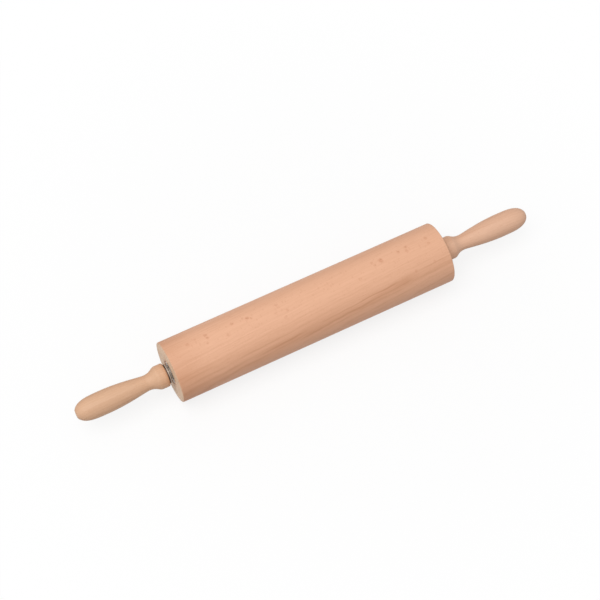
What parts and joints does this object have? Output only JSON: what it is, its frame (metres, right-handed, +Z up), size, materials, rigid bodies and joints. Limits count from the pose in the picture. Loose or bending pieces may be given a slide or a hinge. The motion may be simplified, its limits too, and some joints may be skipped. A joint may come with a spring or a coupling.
{
  "type": "rolling pin",
  "caption": "Beech rolling pin: a plain cylinder that turns on ball bearings round a fixed steel rod, with a turned handle screwed onto each end.",
  "frame": {"origin": "on the surface the pin lies on, under the middle of the barrel", "axes": "+X along the pin's axis towards the right handle, +Z up; the axis of rotation lies at z = 0.030"},
  "size_m": [0.4716, 0.06, 0.0599],
  "materials": {
    "barrel_beech": "smooth unvarnished beech",
    "handle_beech": "smooth turned beech, lightly oiled",
    "rod_steel": "turned",
    "spacer_steel": "bright turned stainless",
    "race_steel": "ground bearing steel",
    "ball_steel": "polished",
    "shield_steel": "pressed sheet",
    "cage_nylon": "moulded nylon",
    "insert_brass": "turned"
  },
  "bodies": {
    "grip": {"centre_rod": "rod_steel", "handle_left": "handle_beech", "handle_right": "handle_beech", "handle_insert_left": "insert_brass", "handle_insert_right": "insert_brass", "spacer_left": "spacer_steel", "spacer_right": "spacer_steel", "inner_race_left": "race_steel", "inner_race_right": "race_steel"},
    "roller": {"barrel": "barrel_beech", "outer_race_left": "race_steel", "outer_race_right": "race_steel", "shield_outer_left": "shield_steel", "shield_inner_left": "shield_steel", "shield_outer_right": "shield_steel", "shield_inner_right": "shield_steel"},
    "cage_left": {"ball_cage_left": "cage_nylon", "ball_left_1": "ball_steel", "ball_left_2": "ball_steel", "ball_left_3": "ball_steel", "ball_left_4": "ball_steel", "ball_left_5": "ball_steel", "ball_left_6": "ball_steel", "ball_left_7": "ball_steel"},
    "cage_right": {"ball_cage_right": "cage_nylon", "ball_right_1": "ball_steel", "ball_right_2": "ball_steel", "ball_right_3": "ball_steel", "ball_right_4": "ball_steel", "ball_right_5": "ball_steel", "ball_right_6": "ball_steel", "ball_right_7": "ball_steel"}
  },
  "joints": [
    {"name": "barrel_spin", "type": "hinge", "parent": "grip", "child": "roller", "pos_m": [0, 0, 0.02996], "axis": [1, 0, 0], "continuous": true},
    {"name": "cage_left_spin", "type": "hinge", "parent": "grip", "child": "cage_left", "pos_m": [-0.138, 0, 0.02996], "axis": [1, 0, 0], "continuous": true},
    {"name": "cage_right_spin", "type": "hinge", "parent": "grip", "child": "cage_right", "pos_m": [0.138, 0, 0.02996], "axis": [1, 0, 0], "continuous": true}
  ],
  "couplings": [
    {"joint": "cage_left_spin", "follows": "barrel_spin", "ratio": 0.6323},
    {"joint": "cage_right_spin", "follows": "barrel_spin", "ratio": 0.6323}
  ]
}
